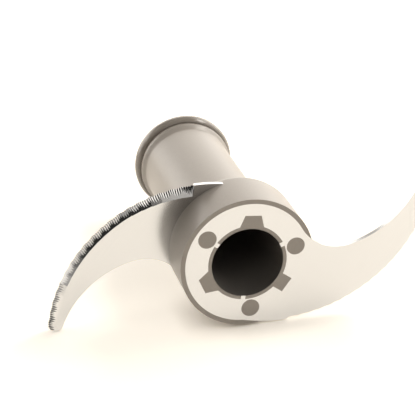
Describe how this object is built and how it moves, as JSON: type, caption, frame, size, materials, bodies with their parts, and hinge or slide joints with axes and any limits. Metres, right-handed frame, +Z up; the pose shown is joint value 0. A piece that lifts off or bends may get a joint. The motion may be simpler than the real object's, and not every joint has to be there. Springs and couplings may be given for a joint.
{
  "type": "food processor blade",
  "caption": "Curved serrated steel knives moulded into a round hub with a long hollow drive tube, a flared cap and a stepped bore for the motor shaft.",
  "frame": {"origin": "middle of the bore's open mouth, in the flat face that the hub stands on", "axes": "+Z up the drive tube towards the cap, +X and +Y in the plane of the lower knife, whose arm sweeps towards +X and +Y"},
  "size_m": [0.1464, 0.1142, 0.1111],
  "materials": {
    "grey_plastic": "moulded, satin",
    "blade_steel": "fine ground",
    "socket_steel": "turned",
    "seal_rubber": "smooth",
    "cap_plastic": "moulded, satin"
  },
  "bodies": {
    "root": {"hub_and_tube": "grey_plastic", "lower_blade": "blade_steel", "upper_blade": "blade_steel", "drive_socket": "socket_steel", "cap_seal": "seal_rubber", "end_cap": "cap_plastic"}
  },
  "joints": []
}
